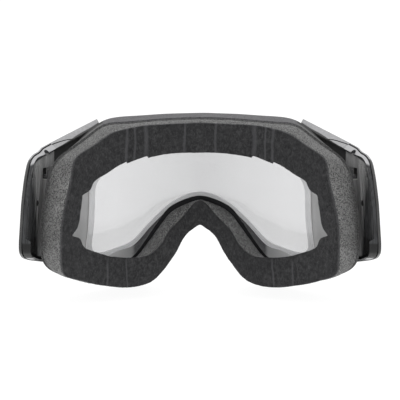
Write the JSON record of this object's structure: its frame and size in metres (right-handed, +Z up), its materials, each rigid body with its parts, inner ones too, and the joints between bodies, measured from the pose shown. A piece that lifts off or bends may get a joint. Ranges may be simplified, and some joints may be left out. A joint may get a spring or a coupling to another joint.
{
  "type": "motorcycle goggles",
  "caption": "Off-road motorcycle goggles: moulded frame with a clear curved double lens, layered foam and fleece face pad, side covers and hinged outriggers with strap slots; no strap.",
  "frame": {"origin": "centre of the whole object's bounding box", "axes": "+Z up; -Y is the way the lens looks; +Y towards the wearer's face; +X is the wearer's left"},
  "size_m": [0.1806, 0.0716, 0.093],
  "materials": {
    "frame_grey": "satin moulded",
    "faceplate_black": "fine matt",
    "foam_grey": "open cell foam",
    "fleece_black": "brushed fleece",
    "lens_clear": "clear polished",
    "gasket_grey": "matt foam rubber",
    "vent_foam": "open cell foam",
    "cover_gloss": "semi gloss",
    "outrigger_black": "satin moulded",
    "steel_zinc": "black zinc plated",
    "washer_white": "smooth",
    "post_black": "smooth"
  },
  "bodies": {
    "goggle_frame": {"front_frame": "frame_grey", "rear_faceplate": "faceplate_black", "face_foam_base": "foam_grey", "face_foam_mid": "foam_grey", "face_fleece": "fleece_black", "outer_lens": "lens_clear", "inner_lens": "lens_clear", "lens_spacer_gasket": "gasket_grey", "top_vent_foam": "vent_foam", "lower_vent_foam_left": "vent_foam", "lower_vent_foam_right": "vent_foam", "side_cover_left": "cover_gloss", "tear_off_post_left": "post_black", "hinge_bracket_left": "steel_zinc", "hinge_pin_left": "steel_zinc", "hinge_washers_left": "washer_white", "bracket_screws_left": "steel_zinc", "side_cover_right": "cover_gloss", "tear_off_post_right": "post_black", "hinge_bracket_right": "steel_zinc", "hinge_pin_right": "steel_zinc", "hinge_washers_right": "washer_white", "bracket_screws_right": "steel_zinc"},
    "left_arm": {"outrigger_left": "outrigger_black", "outrigger_trim_left": "cover_gloss"},
    "right_arm": {"outrigger_right": "outrigger_black", "outrigger_trim_right": "cover_gloss"}
  },
  "joints": [
    {"name": "left_outrigger_hinge", "type": "hinge", "parent": "goggle_frame", "child": "left_arm", "pos_m": [0.07858, 0.00255, 0.00191], "axis": [0, 0, -1], "range_deg": [0, 15]},
    {"name": "right_outrigger_hinge", "type": "hinge", "parent": "goggle_frame", "child": "right_arm", "pos_m": [-0.07858, 0.00255, 0.00191], "axis": [0, 0, 1], "range_deg": [0, 15]}
  ]
}
